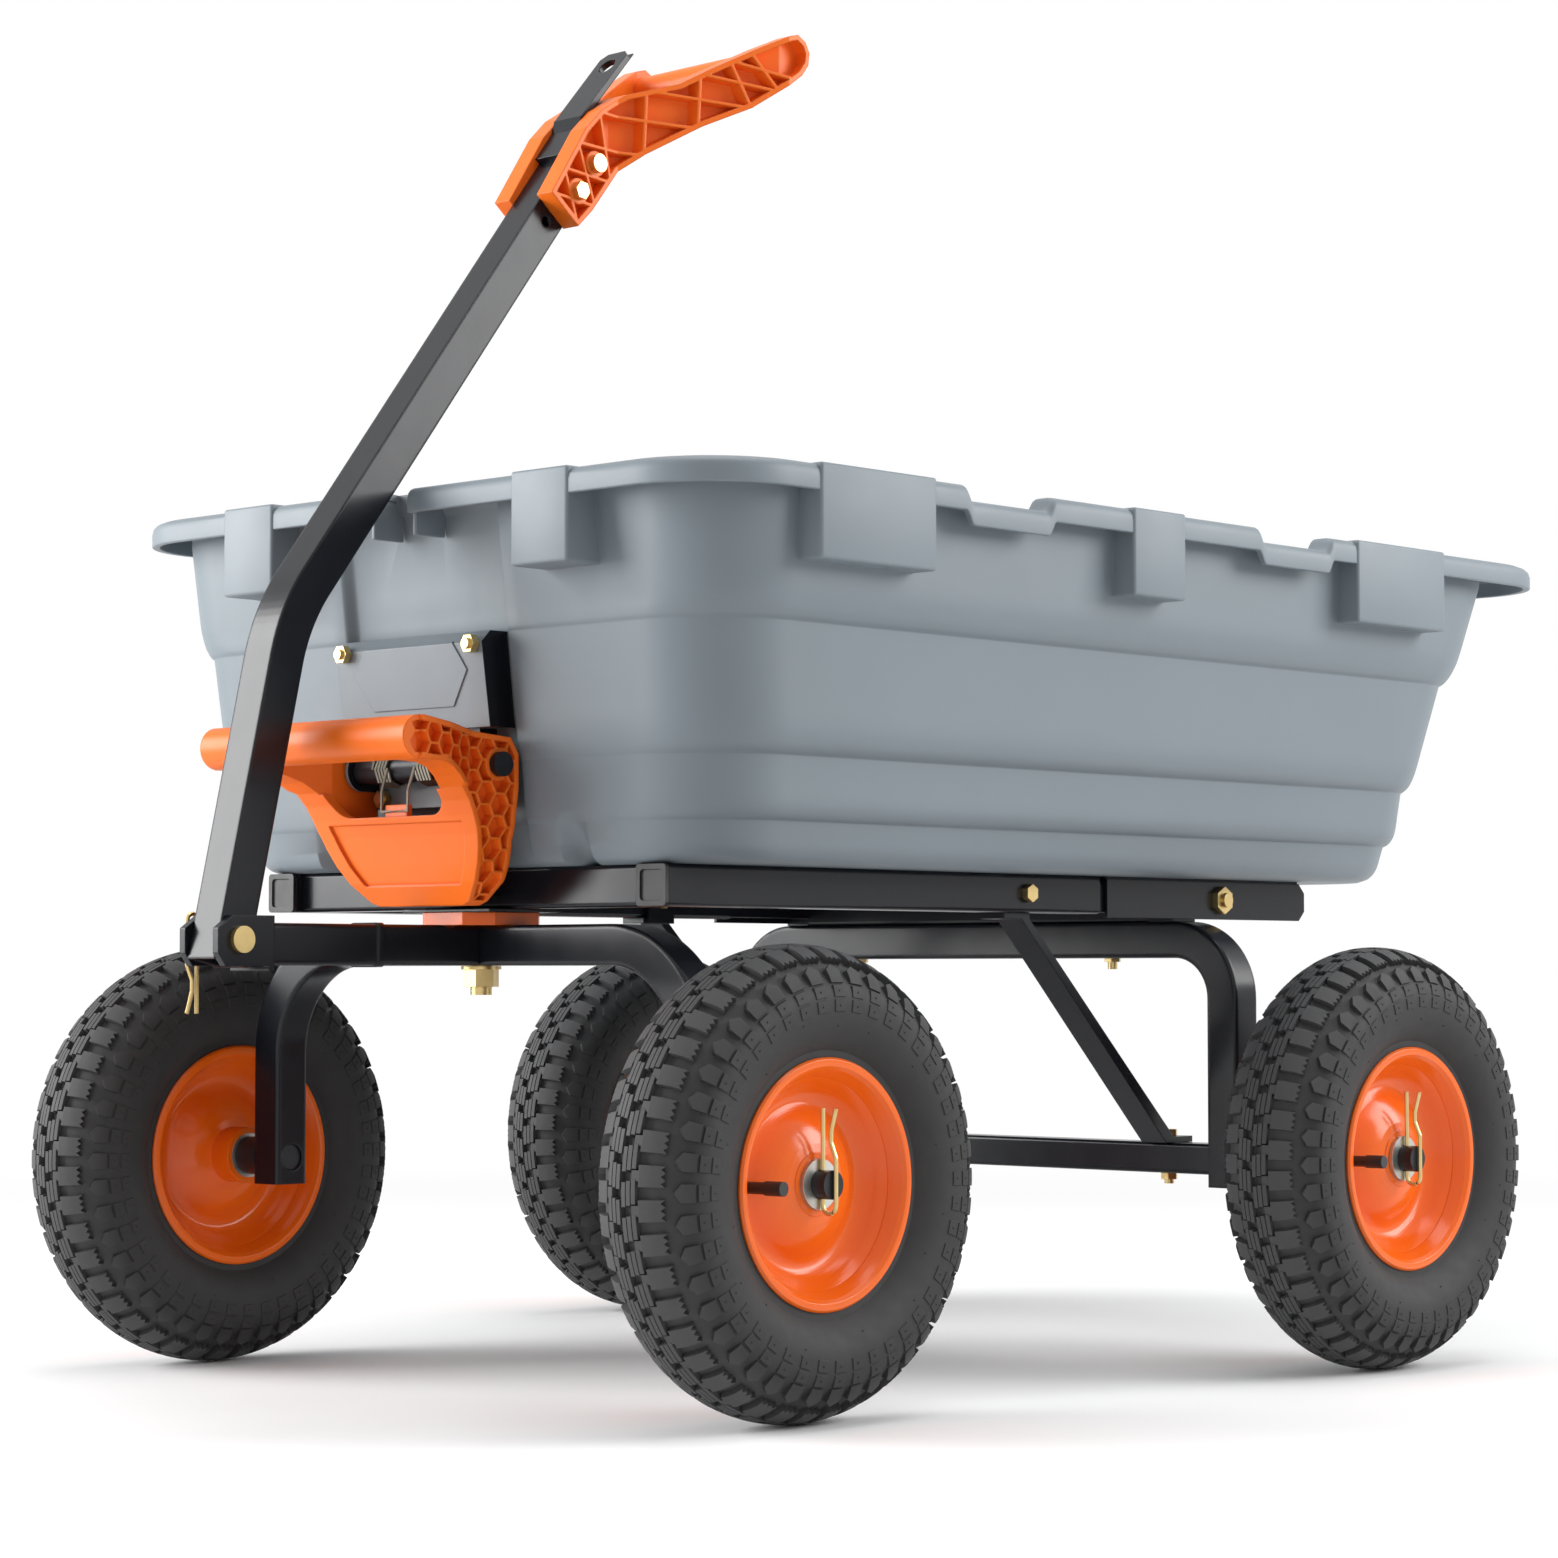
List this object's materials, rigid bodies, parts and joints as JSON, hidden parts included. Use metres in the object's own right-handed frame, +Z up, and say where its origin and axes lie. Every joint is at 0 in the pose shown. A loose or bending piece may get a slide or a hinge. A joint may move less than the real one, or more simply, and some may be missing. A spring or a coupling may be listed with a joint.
{
  "type": "tipping dump cart",
  "caption": "Garden dump cart: plastic tub tipping back over a tube frame, sprung dump latch, steered front axle, pneumatic wheels and tow handle with D grip",
  "frame": {"origin": "middle of the bounding box in plan, on the ground under the tyres", "axes": "+Y runs to the back of the cart, so the front and its tow handle face -Y; +X is the cart's left; +Z is up"},
  "size_m": [0.9026, 1.251, 1.0501],
  "materials": {
    "tub_plastic": "satin textured slate grey moulding",
    "grey_paint": "satin slate grey powder coat",
    "orange_plastic": "semi-gloss orange moulding",
    "orange_paint": "gloss orange paint on pressed steel",
    "black_paint": "gloss black powder coat",
    "yellow_zinc": "yellow zinc plate",
    "bright_zinc": "bright zinc plate",
    "dark_steel": "blackened steel",
    "spring_steel": "drawn wire",
    "tyre_rubber": "matt black moulded rubber",
    "black_rubber": "matt black rubber"
  },
  "bodies": {
    "chassis": {"left_rail": "black_paint", "right_rail": "black_paint", "rail_end_caps": "black_rubber", "front_cross_tube": "black_paint", "rear_cross_tube": "black_paint", "bolster_plate": "black_paint", "striker_plate": "black_paint", "rear_arch": "black_paint", "rear_axle_bar": "black_paint", "rear_stub_axles": "dark_steel", "axle_braces": "black_paint", "frame_bolts": "yellow_zinc", "kingpin": "yellow_zinc", "kingpin_nut": "yellow_zinc", "rear_washers": "bright_zinc", "rear_axle_clips": "yellow_zinc"},
    "front_axle": {"front_arch": "black_paint", "front_stub_axles": "dark_steel", "tongue": "black_paint", "hinge_bracket": "black_paint", "steering_pad": "orange_paint", "front_washers": "bright_zinc", "front_axle_clips": "yellow_zinc"},
    "hinge_pin": {"hinge_pin": "yellow_zinc", "hinge_pin_clip": "yellow_zinc"},
    "handle": {"handle_tube": "black_paint", "tow_tongue": "black_paint", "d_grip": "orange_plastic", "grip_bolts": "yellow_zinc", "grip_lock_pin": "yellow_zinc"},
    "tub": {"tub": "tub_plastic", "tail_angles": "black_paint", "tail_bolts": "yellow_zinc", "tub_bolts": "yellow_zinc", "latch_bracket": "grey_paint", "bracket_bolts": "yellow_zinc", "latch_pivot": "dark_steel", "latch_spring": "spring_steel"},
    "latch": {"dump_handle": "orange_plastic"},
    "front_left_wheel": {"front_left_tyre": "tyre_rubber", "front_left_rim": "orange_paint", "front_left_bearings": "bright_zinc", "front_left_valve": "black_rubber"},
    "front_right_wheel": {"front_right_tyre": "tyre_rubber", "front_right_rim": "orange_paint", "front_right_bearings": "bright_zinc", "front_right_valve": "black_rubber"},
    "rear_left_wheel": {"rear_left_tyre": "tyre_rubber", "rear_left_rim": "orange_paint", "rear_left_bearings": "bright_zinc", "rear_left_valve": "black_rubber"},
    "rear_right_wheel": {"rear_right_tyre": "tyre_rubber", "rear_right_rim": "orange_paint", "rear_right_bearings": "bright_zinc", "rear_right_valve": "black_rubber"}
  },
  "joints": [
    {"name": "steering", "type": "hinge", "parent": "chassis", "child": "front_axle", "pos_m": [0, -0.3595, 0.35], "axis": [0, 0, 1], "range_deg": [-17, 17]},
    {"name": "tub_tip", "type": "hinge", "parent": "chassis", "child": "tub", "pos_m": [0, 0.2685, 0.37], "axis": [-1, 0, 0], "range_deg": [0, 80]},
    {"name": "hinge_push", "type": "hinge", "parent": "front_axle", "child": "hinge_pin", "pos_m": [0, -0.6055, 0.333], "axis": [1, 0, 0], "range_deg": [0, 32]},
    {"name": "handle_tilt", "type": "hinge", "parent": "hinge_pin", "child": "handle", "pos_m": [0, -0.6055, 0.333], "axis": [1, 0, 0], "range_deg": [0, 105]},
    {"name": "dump_latch", "type": "hinge", "parent": "tub", "child": "latch", "pos_m": [0, -0.4275, 0.46], "axis": [-1, 0, 0], "range_deg": [0, 30], "stiffness_Nm_per_rad": 1.5, "springref_deg": -20.05, "deforming": ["latch_spring"]},
    {"name": "front_left_spin", "type": "hinge", "parent": "front_axle", "child": "front_left_wheel", "pos_m": [0.317, -0.3595, 0.165], "axis": [1, 0, 0], "continuous": true},
    {"name": "front_right_spin", "type": "hinge", "parent": "front_axle", "child": "front_right_wheel", "pos_m": [-0.317, -0.3595, 0.165], "axis": [1, 0, 0], "continuous": true},
    {"name": "rear_left_spin", "type": "hinge", "parent": "chassis", "child": "rear_left_wheel", "pos_m": [0.402, 0.2235, 0.165], "axis": [1, 0, 0], "continuous": true},
    {"name": "rear_right_spin", "type": "hinge", "parent": "chassis", "child": "rear_right_wheel", "pos_m": [-0.402, 0.2235, 0.165], "axis": [1, 0, 0], "continuous": true}
  ],
  "couplings": [
    {"joint": "hinge_push", "follows": "tub_tip", "ratio": 0.4}
  ]
}
